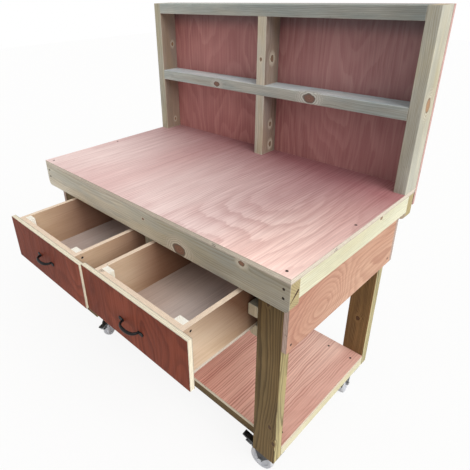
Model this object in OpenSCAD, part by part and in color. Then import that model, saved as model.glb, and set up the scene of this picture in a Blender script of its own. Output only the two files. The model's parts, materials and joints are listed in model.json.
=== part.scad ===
// A wheeled timber bench with two drawers, a lower shelf and an upstand that
// carries a narrow shelf against a back panel.
// X runs along the bench from left to right, Y from its front to its back, Z up.
// The origin is on the floor, under the middle of the bench with its drawers
// pulled out as they rest here.

/* [Bench] */
// Length of the worktop
bench_l = 1365; // [1260:5:1600]
// Depth of the worktop
bench_d = 800; // [760:5:900]
// Height of the worktop's top above the floor
bench_h = 1000; // [900:5:1060]

/* [Timber and plywood] */
// Thickness of the planed timber
timber_t = 45; // [40:1:48]
// Width of the planed timber
timber_w = 95; // [90:1:100]
// Width of the legs
leg_w = 98; // [92:1:104]
// Height of the front and back rails
rail_h = 102; // [95:1:108]
// Thickness of the timber in the frame under the lower shelf
low_frame_t = 38; // [36:1:45]
// Radius of the timber's eased edges
edge_r = 3; // [1:0.5:4]
// Thickness of the plywood
ply_t = 18; // [15:1:20]
// Height of the rails under the worktop's ends
side_rail_h = 70; // [60:1:80]
// Radius of the rounded corners at the ends of the front and back rails
rail_corner_r = 22; // [10:1:30]
// Step of the back rail behind the worktop's back edge
back_inset = 8; // [4:1:12]

/* [Panels] */
// Height of the side panels below the side rails
panel_h = 230; // [200:5:240]

/* [Upstand] */
// Height of the upstand above the worktop
upstand_h = 625; // [500:5:700]
// Height of the narrow shelf's top above the worktop
shelf_z = 311; // [200:1:380]
// Thickness of the back panel
back_panel_t = 15; // [12:1:18]
// Length of the back panel below the worktop's top
back_panel_drop = 72; // [40:1:100]

/* [Drawers] */
// Height of a drawer's front
front_h = 189; // [170:1:195]
// Gap between the front rail and the top of a drawer's front
front_drop = 21; // [16:1:30]
// Gap beside each drawer's front
front_gap = 3; // [2:0.5:5]
// Height of a drawer's sides, without its bottom
side_h = 173; // [150:1:176]
// Thickness of a drawer's bottom
bottom_t = 12; // [6:1:15]
// Step from the bottom edge of a drawer's front up to the box's underside
bottom_step = 4; // [2:1:14]
// Length of a drawer's box
box_l = 698; // [560:2:698]
// Sideways play of a drawer between its guides, on each side
box_play = 4; // [2:0.5:6]
// How far the left drawer is pulled out
left_pull = 283; // [0:1:440]
// How far the right drawer is pulled out
right_pull = 275; // [0:1:440]
// Width of the blocks in a drawer's front corners
block_w = 38; // [34:1:44]
// Depth of those blocks from front to back
block_d = 23; // [18:1:30]

/* [Drawer runners] */
// Width of the guides on the legs
guide_w = 37; // [30:1:42]
// Width of the guide between the drawers
centre_w = 109; // [98:1:116]
// Height of the guides
guide_h = 44; // [30:1:50]
// Depth of the guides' top below the worktop's top
guide_z = 200; // [190:1:215]
// Rounding of the bearers' bottom edges
bearer_r = 10; // [4:1:14]

/* [Handles] */
// Length of a handle over its feet
handle_l = 128; // [110:1:150]
// Reach of a handle in front of the drawer
handle_reach = 32; // [28:1:38]
// Height of the handle's bar
handle_bar_h = 10; // [8:0.5:14]
// Thickness of the handle's bar
handle_bar_t = 6; // [5:0.5:8]
// Depth of the left handle's middle below the worktop's top
left_handle_z = 235; // [228:1:255]
// Depth of the right handle's middle below the worktop's top
right_handle_z = 250; // [228:1:255]

/* [Castors] */
// Height of a castor from the floor to its plate's top
castor_h = 127; // [122:1:135]
// Diameter of a castor's wheel
wheel_d = 100; // [90:1:102]
// Width of the wheel's tread
wheel_w = 30; // [26:1:31]
// Distance of the wheel's axle behind the swivel
castor_trail = 35; // [32:1:38]
// Turn of the front left castor about its swivel
front_left_turn = -60; // [-180:1:180]
// Turn of the front right castor about its swivel
front_right_turn = 184; // [0:1:360]
// Turn of the back left castor about its swivel
back_left_turn = -110; // [-180:1:180]
// Turn of the back right castor about its swivel
back_right_turn = -79; // [-180:1:180]

/* [Hidden] */
$fn = 48;

// Space left round a screw in its hole
screw_clear = 0.1;
// Gap between two surfaces that turn on each other
turn_gap = 0.4;
// Overlap that keeps a cut clear of the face it starts from
cut = 1;

// Levels of the frame
top_low = bench_h - ply_t;
rail_low = top_low - rail_h;
side_rail_low = top_low - side_rail_h;
panel_low = side_rail_low - panel_h;
frame_low = castor_h;
frame_top = frame_low + low_frame_t;
shelf_top = frame_top + ply_t;

// Lines across the frame, in X and in Y
leg_out = timber_t;
leg_in = leg_out + leg_w;
front_leg_y = timber_t;
front_leg_back = front_leg_y + timber_t;
back_rail_y = bench_d - back_inset - timber_t;
back_leg_y = back_rail_y - timber_t;
post_y = bench_d - timber_w;
mid_x = bench_l / 2;

// Upstand
upstand_top = bench_h + upstand_h;
shelf_high = bench_h + shelf_z;
shelf_low = shelf_high - timber_t;

// Drawers
opening_w = bench_l - 2 * leg_in;
front_w = (opening_w - 3 * front_gap) / 2;
front_y = front_leg_y - ply_t;
front_top = rail_low - front_drop;
front_low = front_top - front_h;
box_low = front_low + bottom_step;
box_floor = box_low + bottom_t;
box_top = box_floor + side_h;
box_x = leg_in + guide_w + box_play;
box_w = mid_x - centre_w / 2 - box_play - box_x;
guide_top = bench_h - guide_z;
kicker_gap = 2;
kicker_low = box_top + kicker_gap;
bearer_low = box_low - timber_t;
bearer_out = leg_in - timber_w / 3;
// Half the width that reaches over the inner sides of both boxes
centre_half = centre_w / 2 + box_play + ply_t;
pulls = [left_pull, right_pull];
handle_drops = [left_handle_z, right_handle_z];

// Origin
back_y = bench_d + back_panel_t;
drawn_y = front_y - max(left_pull, right_pull) - handle_reach;
place_y = -(back_y + drawn_y) / 2;

// Castors: place of each swivel and its turn
castor_in = 88;
back_castor_in = 132;
front_left_place = [150, 130];
castors = [
  [front_left_place, front_left_turn],
  [[bench_l - castor_in, front_leg_back], front_right_turn],
  [[castor_in, bench_d - back_castor_in], back_left_turn],
  [[bench_l - castor_in, bench_d - back_castor_in], back_right_turn]
];

// Screws: length, shank diameter and depth of the head below the surface
screw_l = 50;
long_screw_l = 80;
screw_d = 5;
screw_sink = 0.6;
// Places of the screws, from the end, the edge or the top of what they hold
corner_screw = [33, 25];
side_screw_y = 385;
rail_screw_drops = [25, 56];
panel_screw_up = 25;
apron_screw_ups = [25, 160];
shelf_screw_in = 33;
divider_screw_up = 60;
box_screw_drop = 18;

// Moves the bench from its front left corner to the origin
module place() {
  translate([-bench_l / 2, place_y, 0]) children();
}

// A plain block between two corners
module block(lo, hi) {
  translate(lo) cube(hi - lo);
}

// Outline of a rectangle w by h with round corners of radius r
module round_rect(w, h, r) {
  translate([0, r]) square([w, h - 2 * r]);
  translate([r, 0]) square([w - 2 * r, h]);
  for (x = [r, w - r], y = [r, h - r]) {
    translate([x, y]) circle(r);
  }
}

// Planed timber between two corners, with eased edges along its grain
module timber(lo, hi, grain) {
  size = hi - lo;
  if (grain == "x") {
    translate([lo[0], hi[1], lo[2]]) rotate([90, 0, 90])
      linear_extrude(size[0]) translate([-size[1], 0]) round_rect(size[1], size[2], edge_r);
  } else if (grain == "y") {
    translate([lo[0], hi[1], lo[2]]) rotate([90, 0, 0])
      linear_extrude(size[1]) round_rect(size[0], size[2], edge_r);
  } else {
    translate(lo) linear_extrude(size[2]) round_rect(size[0], size[1], edge_r);
  }
}

// The same timber on the other end of the bench
module mirrored() {
  translate([bench_l, 0, 0]) mirror([1, 0, 0]) children();
}

// Outline of a rail seen from the front: its lower corners are rounded
module rail_outline() {
  r = rail_corner_r;
  translate([0, r]) square([bench_l, rail_h - r]);
  translate([r, 0]) square([bench_l - 2 * r, rail_h]);
  for (x = [r, bench_l - r]) {
    translate([x, r]) circle(r);
  }
}

// A full-length rail whose front face is at y
module long_rail(y) {
  intersection() {
    timber([0, y, rail_low], [bench_l, y + timber_t, top_low], "x");
    translate([0, y + timber_t + cut, rail_low]) rotate([90, 0, 0])
      linear_extrude(timber_t + 2 * cut) rail_outline();
  }
}

// A countersunk screw that points down from a surface at z = 0
module screw(l, d) {
  head_r = d;
  tip = 1.5 * d;
  rotate_extrude() polygon([
    [0, -screw_sink], [head_r, -screw_sink],
    [d / 2, -screw_sink - d / 2], [d / 2, tip - l], [0, -l]
  ]);
}

// The hole for that screw
module screw_hole(l, d) {
  head_r = d + screw_clear;
  r = d / 2 + screw_clear;
  rotate_extrude() polygon([
    [0, cut], [head_r, cut], [head_r, -screw_sink],
    [r, -screw_sink - d / 2], [r, -l - screw_clear], [0, -l - screw_clear]
  ]);
}

// One screw or its hole at point p; turn swings it from pointing down
module fixing(p, turn, l, d, hole) {
  translate(p) rotate(turn) {
    if (hole) {
      screw_hole(l, d);
    } else {
      screw(l, d);
    }
  }
}

// Screws through the worktop's ends into the front rail and the side rails
module worktop_fixings(hole) {
  for (p = [corner_screw, [timber_t / 2, side_screw_y]], x = [p[0], bench_l - p[0]]) {
    fixing([x, p[1], bench_h], [0, 0, 0], screw_l, screw_d, hole);
  }
}

// Screws through the ends of the front and back rails into the side rails
module rail_fixings(hole) {
  for (x = [timber_t / 2, bench_l - timber_t / 2], drop = rail_screw_drops) {
    z = top_low - drop;
    fixing([x, 0, z], [90, 0, 0], long_screw_l, screw_d, hole);
    fixing([x, back_rail_y + timber_t, z], [-90, 0, 0], long_screw_l, screw_d, hole);
  }
}

// Screws through the side panels into the legs
module panel_fixings(hole) {
  z = panel_low + panel_screw_up;
  for (y = [front_leg_y + timber_t / 2, back_leg_y + timber_t / 2]) {
    fixing([leg_out - ply_t, y, z], [0, -90, 0], screw_l, screw_d, hole);
    fixing([bench_l - leg_out + ply_t, y, z], [0, 90, 0], screw_l, screw_d, hole);
  }
}

// Screws through the back apron into the back legs
module apron_fixings(hole) {
  for (
    x = [leg_out + leg_w / 2, bench_l - leg_out - leg_w / 2],
    up = apron_screw_ups
  ) {
    fixing([x, back_rail_y + ply_t, panel_low + up], [-90, 0, 0], screw_l, screw_d, hole);
  }
}

// Screws through the lower shelf into its frame
module shelf_fixings(hole) {
  side_x = leg_out + shelf_screw_in;
  rail_x = leg_in + timber_t;
  for (
    x = [side_x, rail_x, mid_x, bench_l - rail_x, bench_l - side_x],
    y = [front_leg_back + timber_w / 2, back_leg_y - timber_w / 2]
  ) {
    fixing([x, y, shelf_top], [0, 0, 0], screw_l, screw_d, hole);
  }
}

// Screws through the back panel into the posts, the dividers and the top rail
module back_panel_fixings(hole) {
  for (x = [timber_t / 2, mid_x, bench_l - timber_t / 2], low = [bench_h, shelf_high]) {
    fixing([x, back_y, low + divider_screw_up], [-90, 0, 0], screw_l, screw_d, hole);
  }
  for (x = [bench_l / 4, bench_l * 3 / 4]) {
    fixing([x, back_y, upstand_top - timber_t / 2], [-90, 0, 0], screw_l, screw_d, hole);
    fixing([x, back_y, shelf_high - timber_t / 2], [-90, 0, 0], screw_l, screw_d, hole);
  }
}

// Frame under the worktop

module worktop() {
  place() color("rosybrown") difference() {
    block([0, 0, top_low], [bench_l, bench_d, bench_h]);
    worktop_fixings(true);
  }
}

module front_rail() {
  place() color("darkkhaki") difference() {
    long_rail(0);
    worktop_fixings(true);
    rail_fixings(true);
  }
}

module back_rail() {
  place() color("darkkhaki") difference() {
    long_rail(back_rail_y);
    rail_fixings(true);
  }
}

module side_rail() {
  timber([0, timber_t, side_rail_low], [timber_t, back_rail_y, top_low], "y");
}

module left_side_rail() {
  place() color("khaki") difference() {
    side_rail();
    worktop_fixings(true);
    rail_fixings(true);
  }
}

module right_side_rail() {
  place() color("khaki") difference() {
    mirrored() side_rail();
    worktop_fixings(true);
    rail_fixings(true);
  }
}

// A pair of legs whose front faces are at y
module leg_pair(y) {
  leg_lo = [leg_out, y, frame_low];
  leg_hi = [leg_in, y + timber_t, top_low];
  timber(leg_lo, leg_hi, "z");
  mirrored() timber(leg_lo, leg_hi, "z");
}

module front_legs() {
  place() color("darkkhaki") difference() {
    leg_pair(front_leg_y);
    panel_fixings(true);
    castor_fixings(true);
  }
}

module back_legs() {
  place() color("darkkhaki") difference() {
    leg_pair(back_leg_y);
    panel_fixings(true);
    apron_fixings(true);
    castor_fixings(true);
  }
}

module side_panel() {
  block([leg_out - ply_t, front_leg_y, panel_low], [leg_out, back_rail_y, side_rail_low]);
}

module left_side_panel() {
  place() color("rosybrown") difference() {
    side_panel();
    panel_fixings(true);
  }
}

module right_side_panel() {
  place() color("rosybrown") difference() {
    mirrored() side_panel();
    panel_fixings(true);
  }
}

module back_apron() {
  place() color("rosybrown") difference() {
    block([leg_out - ply_t, back_rail_y, panel_low],
      [bench_l - leg_out + ply_t, back_rail_y + ply_t, rail_low]);
    apron_fixings(true);
  }
}

// Lower shelf and its frame of timbers laid flat

module lower_shelf() {
  place() color("rosybrown") difference() {
    block([leg_out, front_leg_back, frame_top], [bench_l - leg_out, back_leg_y, shelf_top]);
    shelf_fixings(true);
  }
}

module lower_cross_rails() {
  place() color("darkkhaki") difference() {
    for (y = [front_leg_back, back_leg_y - timber_w]) {
      timber([leg_in, y, frame_low], [bench_l - leg_in, y + timber_w, frame_top], "x");
    }
    shelf_fixings(true);
    castor_fixings(true);
  }
}

module lower_side_rail() {
  timber([leg_out, front_leg_back, frame_low], [leg_in, back_leg_y, frame_top], "y");
}

module lower_side_rails() {
  place() color("khaki") difference() {
    union() {
      lower_side_rail();
      mirrored() lower_side_rail();
    }
    shelf_fixings(true);
    castor_fixings(true);
  }
}

// Upstand

module post() {
  timber([0, post_y, bench_h], [timber_t, bench_d, upstand_top], "z");
}

module left_post() {
  place() color("khaki") difference() {
    post();
    back_panel_fixings(true);
  }
}

module right_post() {
  place() color("khaki") difference() {
    mirrored() post();
    back_panel_fixings(true);
  }
}

// A divider between two heights
module divider(low, high) {
  difference() {
    timber([mid_x - timber_t / 2, post_y, low], [mid_x + timber_t / 2, bench_d, high], "z");
    back_panel_fixings(true);
  }
}

module upper_divider() {
  place() color("khaki") divider(shelf_high, upstand_top - timber_t);
}

module lower_divider() {
  place() color("khaki") divider(bench_h, shelf_low);
}

// A timber laid flat between the posts
module between_posts(low) {
  difference() {
    timber([timber_t, post_y, low], [bench_l - timber_t, bench_d, low + timber_t], "x");
    back_panel_fixings(true);
  }
}

module upstand_top_rail() {
  place() color("darkkhaki") between_posts(upstand_top - timber_t);
}

module upstand_shelf() {
  place() color("darkkhaki") between_posts(shelf_low);
}

module back_panel() {
  place() color("indianred") difference() {
    block([0, bench_d, bench_h - back_panel_drop], [bench_l, back_y, upstand_top]);
    back_panel_fixings(true);
  }
}

// Drawer runners

module side_guide() {
  timber([leg_in, front_leg_y, guide_top - guide_h],
    [leg_in + guide_w, back_leg_y + timber_t, guide_top], "y");
}

module drawer_guides() {
  place() color("burlywood") {
    side_guide();
    mirrored() side_guide();
    timber([mid_x - centre_w / 2, front_leg_back, guide_top - guide_h],
      [mid_x + centre_w / 2, back_leg_y, guide_top], "y");
  }
}

// Outline of a bearer w wide seen from its end: its lower edges are rounded
module bearer_outline(w) {
  r = bearer_r;
  translate([0, r]) square([w, timber_t - r]);
  translate([r, 0]) square([w - 2 * r, timber_t]);
  for (x = [r, w - r]) {
    translate([x, r]) circle(r);
  }
}

// A bearer w wide laid flat under a drawer, with its left edge at x
module bearer(x, w) {
  translate([x, back_leg_y, bearer_low]) rotate([90, 0, 0])
    linear_extrude(back_leg_y - front_leg_back) bearer_outline(w);
}

module drawer_bearers() {
  place() color("burlywood") {
    bearer(bearer_out, timber_w);
    mirrored() bearer(bearer_out, timber_w);
    bearer(mid_x - centre_half - edge_r, 2 * (centre_half + edge_r));
  }
}

// Uprights that carry the middle guide and bearer from the front and back rails
module centre_hangers() {
  place() color("burlywood") for (y = [front_leg_y, back_leg_y]) {
    timber([mid_x - timber_t / 2, y, bearer_low], [mid_x + timber_t / 2, y + timber_t, top_low],
      "z");
  }
}

// A strip over the outer side of a drawer's box
module kicker() {
  timber([leg_in, front_leg_y, kicker_low],
    [box_x + ply_t, back_leg_y + timber_t, kicker_low + timber_t], "y");
}

module drawer_kickers() {
  place() color("burlywood") {
    kicker();
    mirrored() kicker();
    timber([mid_x - centre_half, front_leg_back, kicker_low],
      [mid_x + centre_half, back_leg_y, kicker_low + timber_t], "y");
  }
}

module frame_screws() {
  place() color("dimgray") {
    worktop_fixings(false);
    rail_fixings(false);
    panel_fixings(false);
    apron_fixings(false);
    shelf_fixings(false);
    back_panel_fixings(false);
  }
}

// Drawers: side is 0 for the left one and 1 for the right one. Each is drawn
// closed in the frame and then moved out by its pull.

module drawn(side) {
  place() translate([0, -pulls[side], 0]) children();
}

function front_x(side) = leg_in + front_gap + side * (front_w + front_gap);
function box_left(side) = side == 0 ? box_x : bench_l - box_x - box_w;
function handle_x(side) = front_x(side) + front_w / 2;

// Feet of a handle and its screws
foot_r = 8;
foot_l = 28;
foot_t = 3;
foot_x = handle_l / 2 - foot_r;
handle_screw_l = 30;
handle_screw_d = 4;

module handle_fixings(side, hole) {
  for (x = [-foot_x, foot_x]) {
    fixing([handle_x(side) + x, front_y - foot_t, bench_h - handle_drops[side]], [90, 0, 0],
      handle_screw_l, handle_screw_d, hole);
  }
}

// Screws through a box's sides into the blocks in its corners and into its back
module box_fixings(side, hole) {
  z = box_top - box_screw_drop;
  for (y = [front_leg_y + ply_t + block_d / 2, front_leg_y + box_l - ply_t / 2]) {
    fixing([box_left(side), y, z], [0, -90, 0], screw_l, screw_d, hole);
    fixing([box_left(side) + box_w, y, z], [0, 90, 0], screw_l, screw_d, hole);
  }
}

module drawer_front(side) {
  drawn(side) color("indianred") difference() {
    block([front_x(side), front_y, front_low], [front_x(side) + front_w, front_leg_y, front_top]);
    handle_fixings(side, true);
  }
}

// A cross board of the box whose front face is at y
module cross_board(side, y) {
  block([box_left(side) + ply_t, y, box_floor],
    [box_left(side) + box_w - ply_t, y + ply_t, box_top]);
}

module drawer_inner_front(side) {
  drawn(side) color("burlywood") difference() {
    cross_board(side, front_leg_y);
    handle_fixings(side, true);
  }
}

module drawer_back(side) {
  drawn(side) color("burlywood") difference() {
    cross_board(side, front_leg_y + box_l - ply_t);
    box_fixings(side, true);
  }
}

module drawer_sides(side) {
  drawn(side) color("wheat") difference() {
    for (x = [box_left(side), box_left(side) + box_w - ply_t]) {
      block([x, front_leg_y, box_floor], [x + ply_t, front_leg_y + box_l, box_top]);
    }
    box_fixings(side, true);
  }
}

module drawer_bottom(side) {
  drawn(side) color("burlywood") block([box_left(side), front_leg_y, box_low],
    [box_left(side) + box_w, front_leg_y + box_l, box_floor]);
}

// Blocks in the front corners, as high as the sides
module drawer_blocks(side) {
  y = front_leg_y + ply_t;
  drawn(side) color("khaki") difference() {
    for (x = [box_left(side) + ply_t, box_left(side) + box_w - ply_t - block_w]) {
      block([x, y, box_floor], [x + block_w, y + block_d, box_top]);
    }
    box_fixings(side, true);
  }
}

// A bow handle: a flat bar bent to an arc between two screwed feet
module drawer_handle(side) {
  half_bow = handle_l / 2 - foot_l + handle_bar_t;
  bow_r = (half_bow * half_bow + handle_reach * handle_reach) / (2 * handle_reach);
  drawn(side) color("black") difference() {
    translate([handle_x(side), front_y, bench_h - handle_drops[side]]) {
      translate([0, 0, -handle_bar_h / 2]) linear_extrude(handle_bar_h) intersection() {
        translate([0, bow_r - handle_reach]) difference() {
          circle(bow_r, $fn = 96);
          circle(bow_r - handle_bar_t, $fn = 96);
        }
        translate([-handle_l / 2, -handle_reach - cut]) square([handle_l, handle_reach + cut]);
      }
      for (s = [-1, 1]) {
        rotate([90, 0, 0]) linear_extrude(foot_t) {
          translate([s * foot_x, 0]) circle(foot_r);
          translate([s < 0 ? -foot_x : foot_x - foot_l + foot_r, -foot_r])
            square([foot_l - foot_r, 2 * foot_r]);
        }
      }
    }
    handle_fixings(side, true);
  }
}

module drawer_screws(side) {
  drawn(side) color("dimgray") {
    handle_fixings(side, false);
    box_fixings(side, false);
  }
}

module left_drawer_front() { drawer_front(0); }
module left_drawer_inner_front() { drawer_inner_front(0); }
module left_drawer_back() { drawer_back(0); }
module left_drawer_sides() { drawer_sides(0); }
module left_drawer_bottom() { drawer_bottom(0); }
module left_drawer_blocks() { drawer_blocks(0); }
module left_drawer_handle() { drawer_handle(0); }
module left_drawer_screws() { drawer_screws(0); }
module right_drawer_front() { drawer_front(1); }
module right_drawer_inner_front() { drawer_inner_front(1); }
module right_drawer_back() { drawer_back(1); }
module right_drawer_sides() { drawer_sides(1); }
module right_drawer_bottom() { drawer_bottom(1); }
module right_drawer_blocks() { drawer_blocks(1); }
module right_drawer_handle() { drawer_handle(1); }
module right_drawer_screws() { drawer_screws(1); }

// Castors. Each part is drawn about its own swivel, with z = 0 at the plate's
// top and the wheel trailing along +X, and then set under its corner.

wheel_r = wheel_d / 2;
axle_x = castor_trail;
axle_z = wheel_r - castor_h;
axle_r = 4;
plate_l = 85;
plate_w = 60;
plate_t = 3;
plate_corner_r = 6;
plate_hole_x = 32.5;
plate_hole_y = 20;
plate_hole_r = 3;
castor_screw_l = 32;
castor_screw_r = 2.5;
race_r = 25;
race_low = -9;
kingpin_r = 6;
rivet_r = 10;
// Fork: inside face of an arm, thickness, eyes round the axle and the pedal's pin
arm_in = wheel_w / 2 + 2;
arm_t = 3;
arm_out = arm_in + arm_t;
axle_eye_r = 11;
pedal_eye_r = 7;
collar_h = 3;
bridge_top = race_low - turn_gap - collar_h;
// Brake pedal
pedal_x = axle_x + 35;
pedal_z = axle_z + 47;
pedal_pin_r = 2.5;
pedal_hub_r = 6;
pedal_w = 24;
// Wheel hub
hub_r = 12;
hub_half = arm_in - turn_gap;
// Axle bolt and its nut
bolt_head = 5;
bolt_tail = 1.5;
nut_h = 6.5;
hex_r = 7.5;

// Sets a castor's part in place; i counts from the front left to the back right
module at_castor(i, turned = true) {
  place() translate([castors[i][0][0], castors[i][0][1], castor_h])
    rotate([0, 0, turned ? castors[i][1] : 0]) children();
}

// A pan-head screw that points up from a plate's underside at z = 0
module pan_screw() {
  head_h = 2.6;
  head_r = 5;
  rotate_extrude() polygon([
    [0, -head_h], [head_r - 1, -head_h], [head_r, 1 - head_h], [head_r, 0],
    [castor_screw_r, 0], [castor_screw_r, castor_screw_l - 4], [0, castor_screw_l]
  ]);
}

module pan_screw_hole() {
  r = castor_screw_r + screw_clear;
  translate([0, 0, -cut]) cylinder(h = castor_screw_l + cut + screw_clear, r = r);
}

// The screws or their holes under all the castor plates
module castor_fixings(hole) {
  for (c = castors, x = [-plate_hole_x, plate_hole_x], y = [-plate_hole_y, plate_hole_y]) {
    translate([c[0][0] + x, c[0][1] + y, castor_h - plate_t]) {
      if (hole) {
        pan_screw_hole();
      } else {
        pan_screw();
      }
    }
  }
}

// Top plate with the upper race and the riveted kingpin
module castor_plate() {
  rivet_top = bridge_top - arm_t - turn_gap;
  difference() {
    union() {
      translate([-plate_l / 2, -plate_w / 2, -plate_t])
        linear_extrude(plate_t) round_rect(plate_l, plate_w, plate_corner_r);
      rotate_extrude() polygon([
        [kingpin_r, race_low], [race_r - 3, race_low], [race_r, race_low + 2],
        [race_r + 2, -plate_t + cut / 4], [kingpin_r, -plate_t + cut / 4]
      ]);
    }
    for (x = [-plate_hole_x, plate_hole_x], y = [-plate_hole_y, plate_hole_y]) {
      translate([x, y, -plate_t - cut])
        cylinder(h = plate_t + 2 * cut, r = plate_hole_r);
    }
    translate([0, 0, -plate_t - cut]) cylinder(h = plate_t + 2 * cut, r = kingpin_r);
  }
  rotate_extrude() polygon([
    [0, -0.5], [kingpin_r - screw_clear, -0.5], [kingpin_r - screw_clear, rivet_top],
    [rivet_r, rivet_top], [rivet_r - 1, rivet_top - 3], [0, rivet_top - 4]
  ]);
}

module castor_plates() {
  for (i = [0:3]) {
    at_castor(i, false) color("silver") castor_plate();
  }
}

module castor_screws() {
  place() color("dimgray") castor_fixings(false);
}

// Outline of a fork's arm seen from its side
module arm_outline() {
  polygon([
    [-race_r, bridge_top], [axle_x + 8, bridge_top],
    [pedal_x + 2, pedal_z + pedal_eye_r], [pedal_x + 2, pedal_z - pedal_eye_r],
    [pedal_x - 10, pedal_z - pedal_eye_r], [axle_x + axle_eye_r, axle_z + 2],
    [axle_x - axle_eye_r, axle_z], [-race_r + 9, bridge_top - 12]
  ]);
  translate([axle_x, axle_z]) circle(axle_eye_r);
  translate([pedal_x, pedal_z]) circle(pedal_eye_r);
}

module castor_fork(i) {
  at_castor(i) color("dimgray") difference() {
    union() {
      for (y = [-arm_in, arm_out]) {
        translate([0, y, 0]) rotate([90, 0, 0]) linear_extrude(arm_t) arm_outline();
      }
      translate([-race_r, -arm_out, bridge_top - arm_t])
        cube([race_r + axle_x - 4, 2 * arm_out, arm_t]);
      translate([0, 0, bridge_top - arm_t])
        cylinder(h = arm_t + collar_h, r = race_r - 2);
    }
    translate([0, 0, bridge_top - arm_t - cut])
      cylinder(h = arm_t + collar_h + 2 * cut, r = kingpin_r + turn_gap);
    translate([axle_x, arm_out + cut, axle_z]) rotate([90, 0, 0])
      cylinder(h = 2 * arm_out + 2 * cut, r = axle_r + screw_clear);
    translate([pedal_x, arm_out + cut, pedal_z]) rotate([90, 0, 0])
      cylinder(h = 2 * arm_out + 2 * cut, r = pedal_pin_r + screw_clear);
  }
}

// Wheel with a crowned tread, dished sides and a plain hub
module castor_wheel(i) {
  half = wheel_w / 2;
  at_castor(i) color("gainsboro") translate([axle_x, 0, axle_z]) rotate([90, 0, 0])
    rotate_extrude($fn = 96) polygon([
      [axle_r + turn_gap, -hub_half], [hub_r, -hub_half], [hub_r + 1, -half + 5],
      [wheel_r - 17, -half + 5], [wheel_r - 15, -half + 1], [wheel_r - 4, -half],
      [wheel_r - 1, -half + 5], [wheel_r, -half + 10],
      [wheel_r, half - 10], [wheel_r - 1, half - 5],
      [wheel_r - 4, half], [wheel_r - 15, half - 1], [wheel_r - 17, half - 5],
      [hub_r + 1, half - 5], [hub_r, hub_half], [axle_r + turn_gap, hub_half]
    ]);
}

// Axle bolt with its head and nut, and the pin of the brake pedal
module castor_pins(i) {
  at_castor(i) color("silver") {
    translate([axle_x, arm_out, axle_z]) rotate([90, 0, 0])
      cylinder(h = 2 * arm_out + nut_h + bolt_tail, r = axle_r);
    translate([axle_x, arm_out + bolt_head, axle_z]) rotate([90, 0, 0])
      cylinder(h = bolt_head, r = hex_r, $fn = 6);
    translate([axle_x, -arm_out, axle_z]) rotate([90, 0, 0]) difference() {
      cylinder(h = nut_h, r = hex_r, $fn = 6);
      translate([0, 0, -cut]) cylinder(h = nut_h + 2 * cut, r = axle_r);
    }
    translate([pedal_x, arm_out + 1, pedal_z]) rotate([90, 0, 0])
      cylinder(h = 2 * arm_out + 2, r = pedal_pin_r);
  }
}

// Brake pedal: an upper and a lower toe plate on a hub between the arms
module castor_pedal(i) {
  at_castor(i) color("black") translate([pedal_x, 0, pedal_z]) difference() {
    union() {
      translate([0, pedal_w / 2, 0]) rotate([90, 0, 0]) linear_extrude(pedal_w) {
        polygon([[0, 5.5], [56, 18], [58, 12.5], [14, -3], [0, -5.5]]);
        polygon([[2, -3], [12, -1], [40, -3], [42, -9], [18, -15]]);
      }
      translate([0, hub_half, 0]) rotate([90, 0, 0]) cylinder(h = 2 * hub_half, r = pedal_hub_r);
    }
    translate([0, arm_in, 0]) rotate([90, 0, 0])
      cylinder(h = 2 * arm_in, r = pedal_pin_r + turn_gap / 2);
  }
}

module front_left_fork() { castor_fork(0); }
module front_right_fork() { castor_fork(1); }
module back_left_fork() { castor_fork(2); }
module back_right_fork() { castor_fork(3); }
module front_left_wheel() { castor_wheel(0); }
module front_right_wheel() { castor_wheel(1); }
module back_left_wheel() { castor_wheel(2); }
module back_right_wheel() { castor_wheel(3); }
module front_left_pins() { castor_pins(0); }
module front_right_pins() { castor_pins(1); }
module back_left_pins() { castor_pins(2); }
module back_right_pins() { castor_pins(3); }
module front_left_pedal() { castor_pedal(0); }
module front_right_pedal() { castor_pedal(1); }
module back_left_pedal() { castor_pedal(2); }
module back_right_pedal() { castor_pedal(3); }

worktop();
front_rail();
back_rail();
left_side_rail();
right_side_rail();
front_legs();
back_legs();
left_side_panel();
right_side_panel();
back_apron();
lower_shelf();
lower_cross_rails();
lower_side_rails();
left_post();
right_post();
upper_divider();
lower_divider();
upstand_top_rail();
upstand_shelf();
back_panel();
drawer_guides();
drawer_bearers();
centre_hangers();
drawer_kickers();
frame_screws();
left_drawer_front();
left_drawer_inner_front();
left_drawer_back();
left_drawer_sides();
left_drawer_bottom();
left_drawer_blocks();
left_drawer_handle();
left_drawer_screws();
right_drawer_front();
right_drawer_inner_front();
right_drawer_back();
right_drawer_sides();
right_drawer_bottom();
right_drawer_blocks();
right_drawer_handle();
right_drawer_screws();
castor_plates();
castor_screws();
front_left_fork();
front_right_fork();
back_left_fork();
back_right_fork();
front_left_wheel();
front_right_wheel();
back_left_wheel();
back_right_wheel();
front_left_pins();
front_right_pins();
back_left_pins();
back_right_pins();
front_left_pedal();
front_right_pedal();
back_left_pedal();
back_right_pedal();
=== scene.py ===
import json
import math
from functools import partial

import bmesh
import bpy
from mathutils import Matrix, Vector


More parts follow.
